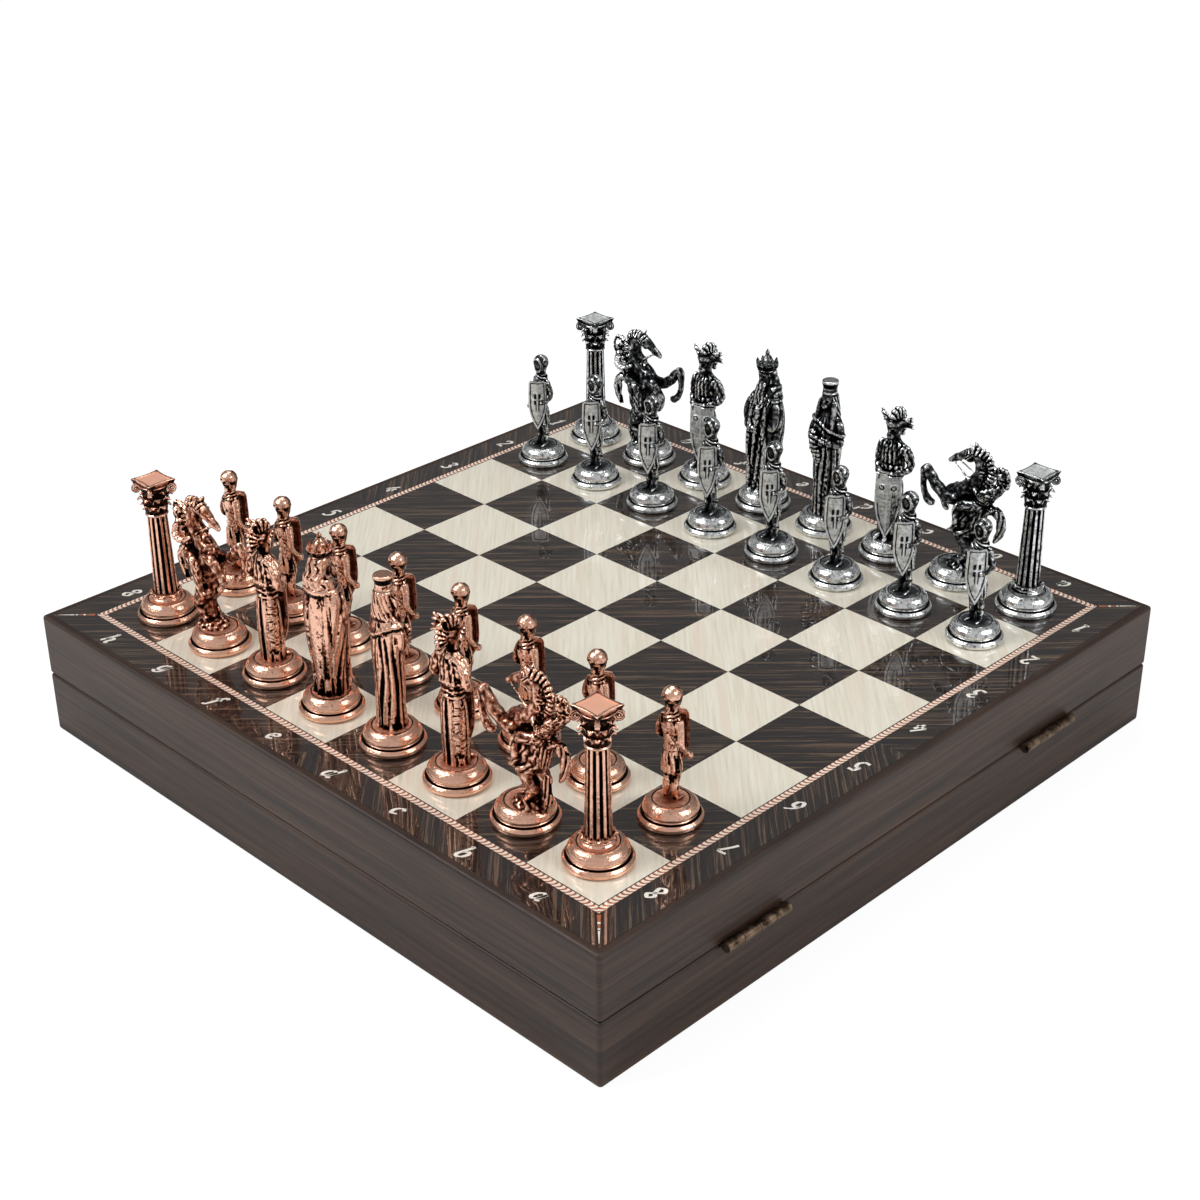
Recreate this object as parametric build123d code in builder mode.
from build123d import *

# Chess set with storage: a hinged wooden box whose lid is the chess board, with 32 cast metal figures.
# Millimetres, +Z up. The origin is the centre of the box's underside, on the table.
# +X is the copper army's side, +Y is the side with the hinges, -Y is the side that opens.

import math
import os

# Board sizes
square_side = 40.0
squares_per_side = 8
border_width = 19.5
rim_width = 3.5
rope_width = 4.0
core_thickness = 5.0
veneer_thickness = 0.6
panel_clearance = 0.1

# Box sizes
lid_height = 30.0
base_height = 30.0
seam_gap = 0.4
wall = 12.0
corner_round = 1.8
top_edge_round = 1.6
seam_edge_round = 1.4
base_panel_thickness = 4.0
base_panel_rebate = 6.0

# Storage tray sizes
lid_liner_thickness = 2.0
tray_floor_thickness = 3.0
tray_rim_width = 8.0
tray_wall_height = 18.0
rib_thickness = 6.0
divider_thickness = 9.0
wells_per_row = 8
tray_clearance = 0.1

# Hinge sizes
hinge_offset = 97.0
hinge_length = 36.4
knuckle_count = 4
knuckle_gap = 0.3
barrel_radius = 2.2
barrel_clearance = 0.3
pin_radius = 0.9
pin_clearance = 0.05
leaf_thickness = 0.9
leaf_width = 9.0
leaf_clearance = 0.1
screw_spacing = 22.0
screw_inset = 4.8
screw_head_radius = 1.9
screw_shank_radius = 0.9
screw_length = 8.0
screw_slot_width = 0.4
screw_clearance = 0.05

# Closing magnet sizes
magnet_offset = 97.0
magnet_radius = 4.0
magnet_thickness = 3.0
magnet_clearance = 0.05

# Pedestal sizes, shared by every figure
officer_base_radius = 14.0
pawn_base_radius = 13.0
foot_tier_height = 4.2
groove_height = 0.8
upper_tier_height = 4.2
groove_inset = 3.0
upper_tier_inset = 2.3
foot_tier_round = 1.6
upper_tier_round = 1.7

# Column sizes, the rook
column_foot_radius = 5.4
column_neck_radius = 4.5
column_foot_height = 2.4
column_shaft_height = 40.0
column_foot_flare = 1.2
column_foot_step = 0.8
flute_count = 12
flute_radius = 0.75
astragal_radius = 0.65
capital_height = 14.0
capital_top_radius = 6.4
capital_leaf_count = 8
leaf_radius = 1.1
leaf_spread = 0.9
volute_radius = 1.9
volute_thickness = 1.8
volute_seat = 0.5
abacus_side = 14.4
abacus_thickness = 2.6
abacus_chamfer = 0.6

# Shield sizes, the pawn's and the bishop's
pawn_shield_width = 9.4
pawn_shield_height = 25.0
bishop_shield_width = 8.6
bishop_shield_height = 30.0
shield_thickness = 1.2
pawn_shield_turn = 45.0
bishop_shield_turn = 20.0

# Crown sizes
king_crown_foot = 64.2
king_crown_radius = 4.9
king_crown_height = 4.2
king_crown_points = 8
king_crown_bead = 1.1
king_finial_height = 4.4
queen_crown_foot = 61.8
queen_crown_radius = 4.0
queen_crown_height = 5.4
queen_disc_thickness = 1.6
mane_thickness = 2.2

# Worked-out sizes
field_side = squares_per_side * square_side
box_side = field_side + 2 * border_width
panel_side = box_side - 2 * rim_width
inner_side = box_side - 2 * wall
rope_inner_side = field_side - rope_width
rope_outer_side = field_side + rope_width
lid_bottom = base_height + seam_gap
board_top = lid_bottom + lid_height
core_top = board_top - veneer_thickness
core_bottom = core_top - core_thickness
liner_bottom = core_bottom - lid_liner_thickness
tray_floor_top = base_panel_thickness + tray_floor_thickness
tray_inner_side = inner_side - 2 * tray_rim_width
well_length = (tray_inner_side - divider_thickness) / 2
well_width = (tray_inner_side - (wells_per_row - 1) * rib_thickness) / wells_per_row
hinge_axis_y = box_side / 2 + barrel_clearance + barrel_radius
hinge_axis_z = base_height + seam_gap / 2
knuckle_pitch = hinge_length / knuckle_count
pedestal_height = foot_tier_height + groove_height + upper_tier_height

FROM_BELOW = (Align.CENTER, Align.CENTER, Align.MIN)
FROM_ABOVE = (Align.CENTER, Align.CENTER, Align.MAX)


def save(piece, name):
    """Label a finished piece and write its STEP file."""
    piece.part.label = name
    export_step(piece.part, f"parts/{name}.step")


# Wooden frames of the lid and the base

def frame_ring(bottom, height, round_top, round_bottom):
    """A square ring of wall with its outer edges rounded, standing on the plane at bottom."""
    with BuildPart() as ring:
        with BuildSketch(Plane.XY.offset(bottom)):
            RectangleRounded(box_side, box_side, corner_round)
        extrude(amount=height)
        if round_top > 0:
            fillet(ring.faces().sort_by(Axis.Z)[-1].edges(), radius=round_top)
        if round_bottom > 0:
            fillet(ring.faces().sort_by(Axis.Z)[0].edges(), radius=round_bottom)
        with BuildSketch(Plane.XY.offset(bottom)):
            Rectangle(inner_side, inner_side)
        extrude(amount=height, mode=Mode.SUBTRACT)
    return ring


def mitred_rail(ring, turn):
    """The quarter of a ring that lies towards the direction turn, cut at the mitres."""
    reach = box_side
    with BuildPart() as rail:
        add(ring.part)
        with BuildSketch(Plane.XY.rotated((0, 0, turn))):
            with BuildLine():
                Polyline((0, 0), (reach, -reach), (reach, reach), close=True)
            make_face()
        extrude(amount=board_top + 1, mode=Mode.INTERSECT)
    return rail


def screw_places():
    """The centres of the hinge screws, in plan."""
    y = box_side / 2 - screw_inset
    return [(side * hinge_offset + step * screw_spacing / 2, y) for side in (-1, 1) for step in (-1, 1)]


def cut_hinge_seat(face_z, into):
    """Cut the leaf mortises and the screw holes into the seam face at face_z, going the way of into."""
    align = FROM_BELOW if into > 0 else FROM_ABOVE
    leaf_face = hinge_axis_z + into * (leaf_clearance + leaf_thickness)
    depth = abs(leaf_face - face_z)
    seat_y = box_side / 2 - leaf_width / 2
    with Locations((-hinge_offset, seat_y, face_z), (hinge_offset, seat_y, face_z)):
        Box(hinge_length + 2 * leaf_clearance, leaf_width + 2 * leaf_clearance, depth,
            align=align, mode=Mode.SUBTRACT)
    with Locations(*[(x, y, leaf_face) for x, y in screw_places()]):
        Cylinder(screw_shank_radius + screw_clearance, screw_length, align=align, mode=Mode.SUBTRACT)


def cut_magnet_seat(face_z, into):
    """Cut the two magnet pockets into the seam face at face_z, going the way of into."""
    align = FROM_BELOW if into > 0 else FROM_ABOVE
    y = -(box_side - wall) / 2
    with Locations((-magnet_offset, y, face_z), (magnet_offset, y, face_z)):
        Cylinder(magnet_radius + magnet_clearance, magnet_thickness, align=align, mode=Mode.SUBTRACT)


def lid_frame():
    """Four mitred rails with a rebate at the top for the board panel."""
    ring = frame_ring(lid_bottom, lid_height, top_edge_round, seam_edge_round)
    with BuildPart() as frame:
        add(ring.part)
        with BuildSketch(Plane.XY.offset(core_bottom)):
            Rectangle(panel_side, panel_side)
        extrude(amount=board_top - core_bottom, mode=Mode.SUBTRACT)
        cut_hinge_seat(lid_bottom, 1)
        cut_magnet_seat(lid_bottom, 1)
    return frame


def base_frame():
    """Four mitred rails with a rebate at the bottom for the base panel."""
    ring = frame_ring(0, base_height, seam_edge_round, top_edge_round)
    with BuildPart() as frame:
        add(ring.part)
        with BuildSketch(Plane.XY):
            Rectangle(inner_side + 2 * base_panel_rebate, inner_side + 2 * base_panel_rebate)
        extrude(amount=base_panel_thickness, mode=Mode.SUBTRACT)
        cut_hinge_seat(base_height, -1)
        cut_magnet_seat(base_height, -1)
    return frame


# Board panel and its inlays

def plate(side, bottom, thickness, hole_side=0.0):
    """A square sheet, or a square frame of sheet where hole_side is given."""
    with BuildPart() as sheet:
        with BuildSketch(Plane.XY.offset(bottom)):
            Rectangle(side, side)
            if hole_side > 0:
                Rectangle(hole_side, hole_side, mode=Mode.SUBTRACT)
        extrude(amount=thickness)
    return sheet


def squares(dark):
    """The 32 veneer squares of one tone, trimmed where the rope inlay runs."""
    half = (squares_per_side - 1) / 2
    with BuildPart() as tiles:
        with BuildSketch(Plane.XY.offset(core_top)):
            for rank in range(squares_per_side):
                for row in range(squares_per_side):
                    if ((rank + row) % 2 == 1) == dark:
                        with Locations(((rank - half) * square_side, (row - half) * square_side)):
                            Rectangle(square_side, square_side)
            Rectangle(rope_inner_side, rope_inner_side, mode=Mode.INTERSECT)
        extrude(amount=veneer_thickness)
    return tiles


# Storage tray

def tray_rim():
    """Four foam bars along the walls of the base."""
    length_y = inner_side - 2 * tray_clearance
    offset_x = (inner_side - tray_rim_width) / 2 - tray_clearance
    with BuildPart() as rim:
        with Locations((-offset_x, 0, tray_floor_top), (offset_x, 0, tray_floor_top)):
            Box(tray_rim_width, length_y, tray_wall_height, align=FROM_BELOW)
        with Locations((0, -offset_x, tray_floor_top), (0, offset_x, tray_floor_top)):
            Box(tray_inner_side - 4 * tray_clearance, tray_rim_width, tray_wall_height, align=FROM_BELOW)
    return rim


def tray_divider():
    """The foam bar across the middle of the base, between the two rows of wells."""
    with BuildPart() as bar:
        with Locations((0, 0, tray_floor_top)):
            Box(tray_inner_side - 4 * tray_clearance, divider_thickness, tray_wall_height, align=FROM_BELOW)
    return bar


def tray_ribs():
    """The foam ribs between neighbouring wells."""
    pitch = well_width + rib_thickness
    with BuildPart() as ribs:
        with Locations((0, 0, tray_floor_top)):
            with GridLocations(pitch, well_length + divider_thickness, wells_per_row - 1, 2):
                Box(rib_thickness, well_length - 2 * tray_clearance, tray_wall_height, align=FROM_BELOW)
    return ribs


# Hinges

def hinge_leaf(centre_x, side, into):
    """One leaf with its knuckles; side picks the knuckles and into is +1 for the lid, -1 for the base."""
    align = FROM_BELOW if into > 0 else FROM_ABOVE
    face_z = hinge_axis_z + into * leaf_clearance
    first = centre_x - hinge_length / 2 + knuckle_pitch / 2
    knuckles = [first + index * knuckle_pitch for index in range(side, knuckle_count, 2)]
    width = knuckle_pitch - knuckle_gap
    seat_y = box_side / 2
    with BuildPart() as leaf:
        with Locations((centre_x, seat_y - leaf_width / 2, face_z)):
            Box(hinge_length, leaf_width, leaf_thickness, align=align)
        with Locations(*[(x, seat_y, face_z) for x in knuckles]):
            Box(width, hinge_axis_y - seat_y, leaf_thickness,
                align=(Align.CENTER, Align.MIN, align[2]))
        for x in knuckles:
            with Locations(Location((x, hinge_axis_y, hinge_axis_z), (0, 90, 0))):
                Cylinder(barrel_radius, width)
        with Locations(Location((centre_x, hinge_axis_y, hinge_axis_z), (0, 90, 0))):
            Cylinder(pin_radius + pin_clearance, hinge_length, mode=Mode.SUBTRACT)
        holes = [(x, y, face_z) for x, y in screw_places() if abs(x - centre_x) < hinge_length / 2]
        with Locations(*holes):
            if into > 0:
                Cone(screw_head_radius + screw_clearance, screw_shank_radius + screw_clearance,
                     leaf_thickness, align=align, mode=Mode.SUBTRACT)
            else:
                Cone(screw_shank_radius + screw_clearance, screw_head_radius + screw_clearance,
                     leaf_thickness, align=align, mode=Mode.SUBTRACT)
    return leaf


def hinge_pins():
    """The pin of each hinge."""
    with BuildPart() as pins:
        for x in (-hinge_offset, hinge_offset):
            with Locations(Location((x, hinge_axis_y, hinge_axis_z), (0, 90, 0))):
                Cylinder(pin_radius, hinge_length - knuckle_gap)
    return pins


def hinge_screws(into):
    """The slotted countersunk screws of both leaves on one half of the box."""
    align = FROM_BELOW if into > 0 else FROM_ABOVE
    face_z = hinge_axis_z + into * leaf_clearance
    with BuildPart() as screws:
        with Locations(*[(x, y, face_z) for x, y in screw_places()]):
            if into > 0:
                Cone(screw_head_radius, screw_shank_radius, leaf_thickness, align=align)
            else:
                Cone(screw_shank_radius, screw_head_radius, leaf_thickness, align=align)
            Cylinder(screw_shank_radius, screw_length, align=align)
            Box(2 * screw_head_radius, screw_slot_width, screw_slot_width, align=align, mode=Mode.SUBTRACT)
    return screws


def magnets(face_z, into):
    """The two closing magnets in one half of the box."""
    align = FROM_BELOW if into > 0 else FROM_ABOVE
    y = -(box_side - wall) / 2
    with BuildPart() as discs:
        with Locations((-magnet_offset, y, face_z), (magnet_offset, y, face_z)):
            Cylinder(magnet_radius, magnet_thickness, align=align)
    return discs


# Shapes that the figures share. A figure stands on z = 0, the top of its pedestal, and looks along +X.

def pedestal(radius):
    """Two-tier round foot with a groove between the tiers, its top at z = 0."""
    with BuildPart() as foot:
        with Locations((0, 0, -pedestal_height)):
            lower = Cylinder(radius, foot_tier_height, align=FROM_BELOW)
        fillet(lower.edges().filter_by(GeomType.CIRCLE), radius=foot_tier_round)
        with Locations((0, 0, -pedestal_height)):
            Cylinder(radius - groove_inset, pedestal_height, align=FROM_BELOW)
        with Locations((0, 0, -upper_tier_height)):
            Cylinder(radius - upper_tier_inset, upper_tier_height, align=FROM_BELOW)
        fillet(foot.faces().sort_by(Axis.Z)[-1].edges(), radius=upper_tier_round)
    return foot.part


def ball(x, y, z, radius):
    """A ball, added to the part being built."""
    with Locations((x, y, z)):
        Sphere(radius)


def limbs(*chains):
    """Round tapered limbs, each a chain of (x, y, z, radius) points, added to the part being built."""
    for chain in chains:
        for (x, y, z, radius) in chain:
            ball(x, y, z, radius)
        for start, end in zip(chain, chain[1:]):
            run = Vector(*end[:3]) - Vector(*start[:3])
            with Locations(Plane(origin=start[:3], z_dir=run).location):
                if start[3] == end[3]:
                    Cylinder(start[3], run.length, align=FROM_BELOW)
                else:
                    Cone(start[3], end[3], run.length, align=FROM_BELOW)


def draped(*sections):
    """A body lofted through ellipses (z, centre x, half depth, half width), added to the part."""
    faces = []
    for (z, x, half_depth, half_width) in sections:
        with BuildSketch(Plane.XY.offset(z), mode=Mode.PRIVATE) as outline:
            with Locations((x, 0)):
                Ellipse(half_depth, half_width)
        faces.append(outline.sketch)
    loft(faces)


def shield(width, height, turn, centre):
    """A pointed shield on edge, its face turned turn degrees from straight ahead, added to the part."""
    half = width / 2
    top = height / 2
    angle = math.radians(turn)
    face = Plane(origin=centre, x_dir=(-math.sin(angle), math.cos(angle), 0),
                 z_dir=(math.cos(angle), math.sin(angle), 0))
    with BuildSketch(face, mode=Mode.PRIVATE) as outline:
        with BuildLine():
            Polyline((-half, 0), (-half, top), (half, top), (half, 0))
            ThreePointArc((half, 0), (0.66 * half, -0.28 * height), (0, -top))
            ThreePointArc((0, -top), (-0.66 * half, -0.28 * height), (-half, 0))
        make_face()
    extrude(outline.sketch, amount=shield_thickness / 2, both=True)


# The six figures

# The two rows of leaves round the rook's capital: where each starts and ends as shares of the capital's
# height, and its turn as a share of the spacing between leaves.
LEAF_ROWS = ((0.06, 0.42, 0.0), (0.36, 0.74, 0.5))


def abacus(bottom):
    """The square slab on top of the column, its lower edges bevelled."""
    with BuildPart() as slab:
        with Locations((0, 0, bottom)):
            Box(abacus_side, abacus_side, abacus_thickness, align=FROM_BELOW)
        chamfer(slab.faces().sort_by(Axis.Z)[0].edges(), length=abacus_chamfer)
    return slab.part


def rook():
    """A fluted column with a leafed capital and a square slab on top."""
    foot = pedestal(officer_base_radius)
    shaft_top = column_foot_height + column_shaft_height
    capital_top = shaft_top + capital_height
    slab = abacus(capital_top)
    lean = math.degrees(math.atan2(column_foot_radius - column_neck_radius, column_shaft_height))
    with BuildPart() as column:
        add(foot)
        Cone(column_foot_radius + column_foot_flare, column_foot_radius + column_foot_flare - column_foot_step,
             column_foot_height, align=FROM_BELOW)
        with BuildSketch(Plane.XY.offset(column_foot_height)):
            Circle(column_foot_radius)
            with PolarLocations(column_foot_radius + 0.25 * flute_radius, flute_count):
                Circle(flute_radius, mode=Mode.SUBTRACT)
        extrude(amount=column_shaft_height, taper=lean)
        with Locations((0, 0, column_foot_height)):
            Cylinder(column_neck_radius - flute_radius, column_shaft_height, align=FROM_BELOW)
        with Locations((0, 0, shaft_top)):
            Torus(column_neck_radius, astragal_radius)
            Cone(column_neck_radius - 0.2, capital_top_radius, capital_height, align=FROM_BELOW)
        for (low, high, turn) in LEAF_ROWS:
            flare = capital_top_radius - column_neck_radius
            for index in range(capital_leaf_count):
                angle = 2 * math.pi * (index + turn) / capital_leaf_count
                root = column_neck_radius - leaf_radius / 2 + low * flare
                tip = column_neck_radius + leaf_spread + high * flare
                leaf_root = Vector(root * math.cos(angle), root * math.sin(angle),
                                   shaft_top + low * capital_height)
                leaf_tip = Vector(tip * math.cos(angle), tip * math.sin(angle),
                                  shaft_top + high * capital_height)
                with Locations(Plane(origin=leaf_root, z_dir=leaf_tip - leaf_root).location):
                    Cone(0.7 * leaf_radius, leaf_radius, (leaf_tip - leaf_root).length, align=FROM_BELOW)
                with Locations(leaf_tip):
                    Sphere(leaf_radius)
        corner = abacus_side / math.sqrt(2) - volute_radius
        volute_z = capital_top - volute_radius + volute_seat
        for turn in (45, 135, 225, 315):
            direction = math.radians(turn)
            eye = Vector(corner * math.cos(direction), corner * math.sin(direction), volute_z)
            stem = Vector(column_neck_radius * math.cos(direction), column_neck_radius * math.sin(direction),
                          capital_top - 0.6 * capital_height)
            with Locations(Plane(origin=eye, z_dir=(-math.sin(direction), math.cos(direction), 0)).location):
                Cylinder(volute_radius, volute_thickness)
            with Locations(Plane(origin=stem, z_dir=eye - stem).location):
                Cone(0.6 * volute_thickness, 0.5 * volute_thickness, (eye - stem).length, align=FROM_BELOW)
        add(slab)
    return column


def pawn():
    """A foot soldier in a round hood, with a long shield in front and a sword at the side."""
    foot = pedestal(pawn_base_radius)
    with BuildPart() as figure:
        add(foot)
        draped((15.0, 0.0, 2.9, 3.5), (23.0, 0.0, 2.4, 2.9), (30.0, 0.2, 3.0, 4.0), (35.5, 0.0, 2.6, 4.3),
               (38.5, 0.0, 1.7, 2.2))
        limbs([(0.4, 1.5, 17.0, 2.2), (0.0, 1.5, 8.0, 1.8), (-0.4, 1.6, 1.2, 1.3), (2.4, 2.0, 0.6, 1.1)],
              [(0.4, -1.5, 17.0, 2.2), (0.8, -1.5, 8.0, 1.8), (0.6, -1.6, 1.2, 1.3), (3.4, -2.0, 0.6, 1.1)],
              [(0.0, 4.0, 35.0, 1.7), (-0.6, 5.2, 27.5, 1.4), (3.2, 3.4, 24.5, 1.2)],
              [(0.0, -4.0, 35.0, 1.7), (-0.6, -5.8, 27.5, 1.4), (1.8, -6.6, 21.0, 1.3)],
              [(2.2, -6.6, 22.5, 0.6), (4.0, -7.6, 6.0, 0.5)])
        draped((36.6, 0.0, 3.2, 3.4), (41.0, 0.1, 3.0, 3.1))
        limbs([(0.3, 0.0, 43.6, 3.7), (0.0, 0.0, 45.6, 4.1)])
        shield(pawn_shield_width, pawn_shield_height, pawn_shield_turn, (5.4, 0.4, 24.5))
    return figure


def bishop():
    """A standing warrior with a ribbed crest on the helmet and a tall shield before the robe."""
    foot = pedestal(officer_base_radius)
    with BuildPart() as figure:
        add(foot)
        draped((0.0, 0.3, 4.6, 5.4), (14.0, 0.2, 4.8, 5.8), (28.0, 0.0, 4.2, 5.2), (33.0, 0.0, 3.6, 4.6),
               (41.0, 0.2, 4.2, 5.8), (47.0, 0.0, 3.6, 5.8), (50.5, 0.0, 2.0, 2.6))
        limbs([(0.0, 5.6, 46.0, 2.4), (-0.6, 9.2, 37.5, 1.8), (4.6, 4.2, 34.5, 1.5)],
              [(0.0, -5.6, 46.0, 2.4), (-0.6, -9.2, 37.5, 1.8), (4.6, -4.2, 34.5, 1.5)],
              [(0.2, 0.0, 50.0, 2.6), (0.4, 0.0, 55.8, 3.9)],
              [(4.2, 2.2, 0.6, 1.3), (6.8, 2.6, 0.5, 1.0)],
              [(4.2, -2.2, 0.6, 1.3), (6.8, -2.6, 0.5, 1.0)],
              [(2.4, 0.0, 60.4, 1.6), (-1.2, 0.0, 65.2, 1.8), (-5.4, 0.0, 62.4, 2.1), (-7.2, 0.0, 56.6, 2.0),
               (-6.2, 0.0, 51.0, 1.4)])
        with Locations((0.0, 0.0, 57.4)):
            Cone(4.6, 3.6, 2.6, align=FROM_BELOW)
        shield(bishop_shield_width, bishop_shield_height, bishop_shield_turn, (5.6, 1.0, 17.5))
    return figure


def queen():
    """A lady in a pleated gown and a shawl, with a flat-topped crown."""
    foot = pedestal(officer_base_radius)
    with BuildPart() as figure:
        add(foot)
        draped((0.0, 0.4, 6.2, 6.4), (6.0, 0.4, 5.2, 5.6), (22.0, 0.2, 5.0, 5.8), (36.0, 0.2, 5.4, 7.0),
               (44.0, 0.2, 5.2, 7.6), (50.0, 0.0, 4.2, 6.6), (53.5, 0.0, 2.4, 2.8))
        limbs([(0.4, 6.0, 47.0, 2.3), (1.2, 7.4, 39.0, 2.0), (6.2, 2.0, 40.5, 1.6)],
              [(0.4, -6.0, 47.0, 2.3), (1.2, -7.4, 39.0, 2.0), (6.2, -2.0, 40.5, 1.6)],
              [(6.0, -0.6, 43.5, 1.5), (7.4, 1.6, 33.0, 1.0)],
              [(0.0, 0.0, 53.0, 2.4), (0.5, 0.0, 58.4, 3.6)])
        draped((51.5, -1.0, 3.6, 5.6), (56.0, -1.2, 3.2, 4.0), (queen_crown_foot + 0.6, -0.6, 3.4, 3.8))
        with Locations((0.0, 0.0, queen_crown_foot)):
            Cone(queen_crown_radius - 0.5, queen_crown_radius - 0.2, queen_crown_height, align=FROM_BELOW)
        with Locations((0.0, 0.0, queen_crown_foot + queen_crown_height)):
            Cylinder(queen_crown_radius, queen_disc_thickness, align=FROM_BELOW)
    return figure


def king():
    """A bearded king in a long cloak with a wide collar, with a pointed crown."""
    foot = pedestal(officer_base_radius)
    crown_top = king_crown_foot + king_crown_height
    with BuildPart() as figure:
        add(foot)
        draped((0.0, 0.2, 6.8, 7.2), (5.0, 0.0, 6.0, 6.8), (18.0, -0.2, 6.4, 7.8), (33.0, -0.4, 7.0, 10.0),
               (42.0, -0.2, 6.6, 10.0), (48.5, -0.2, 5.2, 8.0), (53.0, 0.0, 3.0, 3.8))
        draped((47.5, -0.4, 5.4, 7.6), (51.5, -0.8, 5.6, 6.6), (55.4, -1.4, 5.2, 5.8))
        limbs([(1.0, 7.0, 45.0, 2.6), (2.6, 8.0, 36.0, 2.2), (6.6, 2.2, 37.5, 1.7)],
              [(1.0, -7.0, 45.0, 2.6), (2.6, -8.0, 36.0, 2.2), (6.6, -2.2, 37.5, 1.7)],
              [(7.2, 0.0, 40.5, 1.1), (7.4, 0.0, 22.0, 0.8)],
              [(0.2, 0.0, 54.0, 3.2), (0.4, 0.0, 60.6, 4.0)],
              [(3.0, 0.0, 57.4, 2.2), (4.4, 0.0, 51.5, 1.7), (5.2, 0.0, 47.0, 0.9)],
              [(-2.4, 0.0, 60.0, 3.4), (-4.0, 0.0, 53.0, 3.4)])
        with Locations((0.0, 0.0, king_crown_foot)):
            Cone(king_crown_radius - 0.8, king_crown_radius, king_crown_height, align=FROM_BELOW)
            Cone(king_crown_radius - 2.0, king_crown_radius - 0.7, king_crown_height,
                 align=FROM_BELOW, mode=Mode.SUBTRACT)
            Cone(king_crown_radius - 0.9, 1.0, king_crown_height + 0.6, align=FROM_BELOW)
        with PolarLocations(king_crown_radius - 0.5, king_crown_points):
            with Locations((0, 0, crown_top)):
                Sphere(king_crown_bead)
        limbs([(0.0, 0.0, crown_top, 1.3), (0.0, 0.0, crown_top + king_finial_height, 0.8)])
    return figure


def knight():
    """A rearing horse with an arched neck, ridden by a helmeted rider who leans back."""
    foot = pedestal(officer_base_radius)
    crest = [(-2.0, 40.0), (-8.2, 43.0), (-13.2, 49.0), (-12.6, 54.6), (-8.0, 57.8), (-4.0, 56.0),
             (-6.0, 50.0)]
    with BuildPart() as figure:
        add(foot)
        draped((-1.0, -4.0, 7.0, 7.0), (1.8, -4.4, 5.4, 5.6))
        limbs([(-3.6, 0.0, 18.0, 4.9), (-2.2, 0.0, 27.0, 5.0), (0.2, 0.0, 34.6, 5.2)],
              [(-0.6, 0.0, 37.0, 4.4), (-6.6, 0.0, 44.0, 3.7), (-9.0, 0.0, 50.4, 3.0), (-6.6, 0.0, 54.6, 2.7)],
              [(-6.6, 0.0, 54.6, 2.7), (-1.0, 0.0, 51.6, 2.2), (3.6, 0.0, 47.8, 1.7)],
              [(-6.2, 1.4, 55.8, 1.0), (-5.2, 1.8, 58.6, 0.5)],
              [(-6.2, -1.4, 55.8, 1.0), (-5.2, -1.8, 58.6, 0.5)])
        for side in (-1, 1):
            limbs([(-4.0, 2.8 * side, 17.0, 3.6), (-8.6, 3.6 * side, 9.6, 1.9), (-5.8, 3.8 * side, 2.6, 1.6)],
                  [(-12.0, 2.2 * side, 36.0, 2.3), (-3.6, 5.4 * side, 33.6, 1.9), (-5.6, 5.8 * side, 23.8, 1.4),
                   (-2.4, 6.0 * side, 21.8, 1.2)],
                  [(-15.8, 3.0 * side, 46.6, 1.9), (-11.4, 4.6 * side, 41.6, 1.5), (-6.0, 3.0 * side, 43.2, 1.2)])
        limbs([(0.8, 3.2, 36.0, 2.9), (7.0, 3.8, 36.2, 2.1), (12.0, 3.8, 38.4, 1.6), (13.0, 3.8, 29.4, 1.2),
               (10.4, 3.8, 23.4, 1.4)],
              [(0.8, -3.2, 34.0, 2.9), (5.6, -3.8, 29.4, 2.1), (9.8, -3.8, 24.0, 1.6), (5.8, -3.8, 19.8, 1.4)],
              [(-12.0, 0.0, 35.6, 3.4), (-14.2, 0.0, 40.4, 3.2), (-16.0, 0.0, 46.0, 3.5), (-17.4, 0.0, 49.4, 2.0)],
              [(-17.8, 0.0, 51.6, 2.6), (-18.0, 0.0, 52.8, 2.9)],
              [(-15.6, 0.0, 55.4, 1.0), (-18.6, 0.0, 56.0, 1.1), (-21.0, 0.0, 52.8, 1.0)],
              [(-8.4, 0.0, 17.6, 2.0), (-12.6, 0.0, 11.0, 1.8), (-9.2, 0.0, 2.6, 1.3)],
              [(-8.0, 0.0, 24.0, 4.2), (-9.6, 0.0, 33.0, 3.2)])
        with BuildSketch(Plane.XZ, mode=Mode.PRIVATE) as mane:
            with BuildLine():
                Spline(*crest, periodic=True)
            make_face()
        extrude(mane.sketch, amount=mane_thickness / 2, both=True)
    return figure


# Where the figures stand

FILES = "abcdefgh"
BACK_ROW = ("rook", "knight", "bishop", "queen", "king", "bishop", "knight", "rook")
KNIGHT_HEADINGS = {"b": -90.0, "g": 90.0}


def standing_place(file, rank, heading):
    """The plane a figure is built on: its pedestal's top, above its square, turned to its heading."""
    half = (squares_per_side - 1) / 2
    centre = ((rank - 1 - half) * square_side, (half - FILES.index(file)) * square_side,
              board_top + pedestal_height)
    turn = math.radians(heading)
    return Plane(origin=centre, x_dir=(math.cos(turn), math.sin(turn), 0), z_dir=(0, 0, 1))


def set_out(castings, army, back_rank, pawn_rank, heading):
    """Place and write the sixteen figures of one army."""
    for file, kind in zip(FILES, BACK_ROW):
        turn = KNIGHT_HEADINGS[file] if kind == "knight" else heading
        with BuildPart(standing_place(file, back_rank, turn)) as figure:
            add(castings[kind].part)
        single = kind in ("king", "queen")
        save(figure, f"{army}_{kind}" if single else f"{army}_{kind}_{file}")
    for file in FILES:
        with BuildPart(standing_place(file, pawn_rank, heading)) as figure:
            add(castings["pawn"].part)
        save(figure, f"{army}_pawn_{file}")


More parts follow.
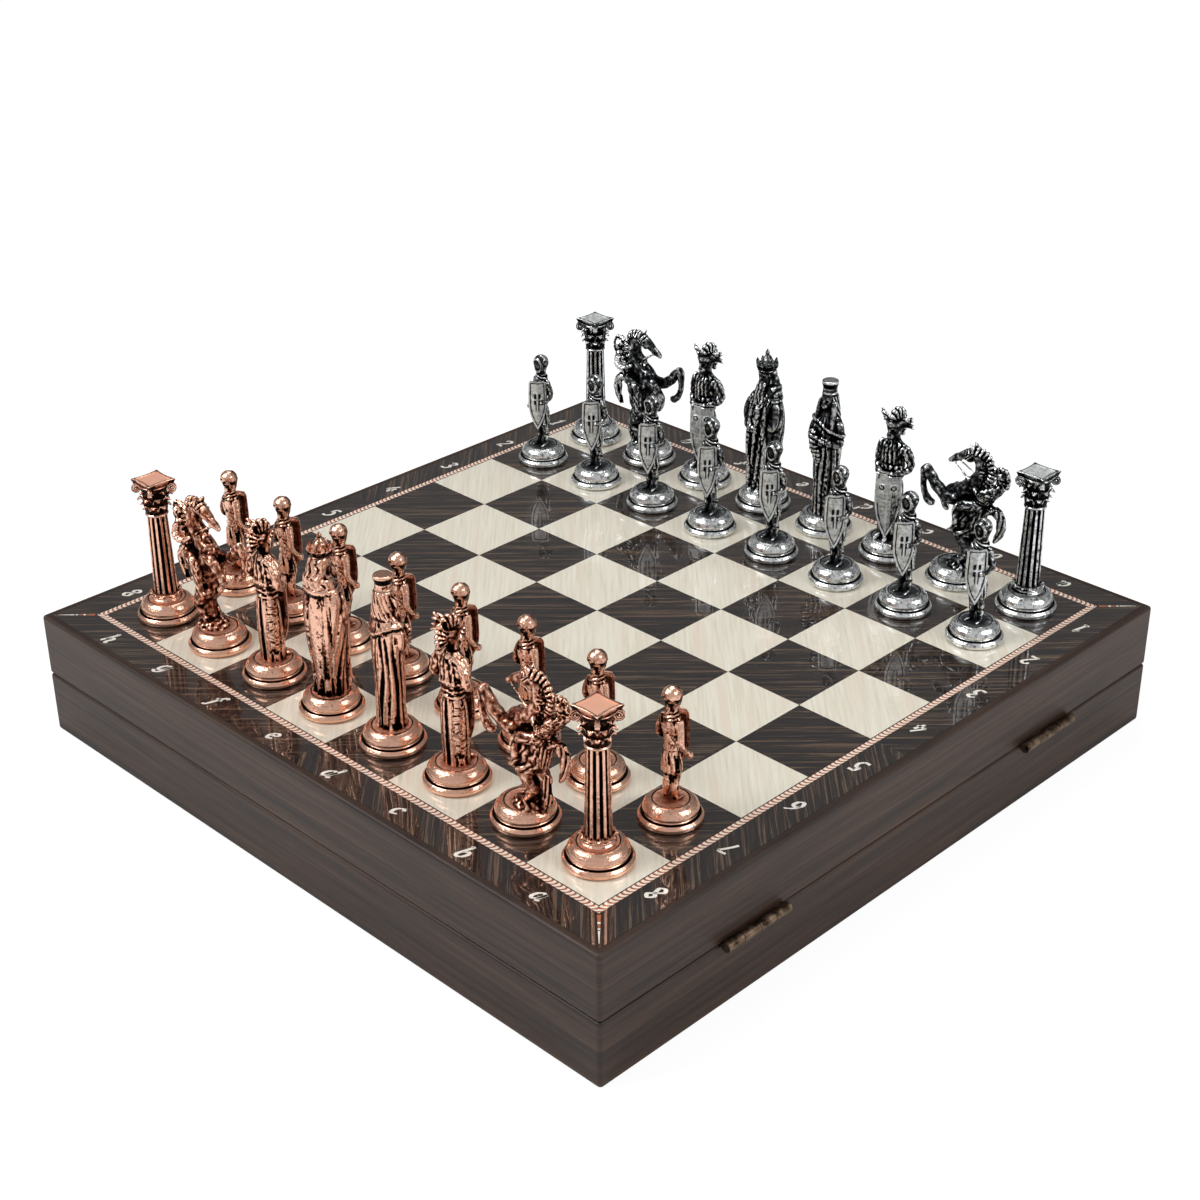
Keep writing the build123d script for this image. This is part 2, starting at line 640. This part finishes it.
def build_lid():
    """Write the pieces of the lid."""
    frame = lid_frame()
    for name, turn in (("lid_rail_copper_side", 0), ("lid_rail_hinge_side", 90),
                       ("lid_rail_silver_side", 180), ("lid_rail_front", 270)):
        save(mitred_rail(frame, turn), name)
    veneer_side = panel_side - 2 * panel_clearance
    save(plate(veneer_side, core_bottom, core_thickness), "board_core")
    save(plate(veneer_side, core_top, veneer_thickness, rope_outer_side), "border_veneer")
    save(plate(rope_outer_side, core_top, veneer_thickness, rope_inner_side), "rope_inlay")
    save(squares(dark=False), "light_squares")
    save(squares(dark=True), "dark_squares")
    save(plate(inner_side - 2 * tray_clearance, liner_bottom, lid_liner_thickness), "lid_liner")


def build_base():
    """Write the pieces of the base and its storage tray."""
    frame = base_frame()
    for name, turn in (("base_rail_copper_side", 0), ("base_rail_hinge_side", 90),
                       ("base_rail_silver_side", 180), ("base_rail_front", 270)):
        save(mitred_rail(frame, turn), name)
    panel = inner_side + 2 * base_panel_rebate - 2 * panel_clearance
    save(plate(panel, 0, base_panel_thickness), "base_panel")
    save(plate(inner_side - 2 * tray_clearance, base_panel_thickness, tray_floor_thickness), "tray_floor")
    save(tray_rim(), "tray_rim")
    save(tray_divider(), "tray_divider")
    save(tray_ribs(), "tray_ribs")


def build_fittings():
    """Write the hinges, their screws and the closing magnets."""
    for hinge, x in (("copper_side", hinge_offset), ("silver_side", -hinge_offset)):
        save(hinge_leaf(x, 0, 1), f"hinge_lid_leaf_{hinge}")
        save(hinge_leaf(x, 1, -1), f"hinge_base_leaf_{hinge}")
    save(hinge_pins(), "hinge_pins")
    save(hinge_screws(1), "hinge_screws_lid")
    save(hinge_screws(-1), "hinge_screws_base")
    save(magnets(lid_bottom, 1), "magnets_lid")
    save(magnets(base_height, -1), "magnets_base")


os.makedirs("parts", exist_ok=True)
build_lid()
build_base()
build_fittings()
figures = {"rook": rook(), "knight": knight(), "bishop": bishop(), "queen": queen(), "king": king(),
           "pawn": pawn()}
set_out(figures, "silver", 1, 2, 0.0)
set_out(figures, "copper", squares_per_side, squares_per_side - 1, 180.0)
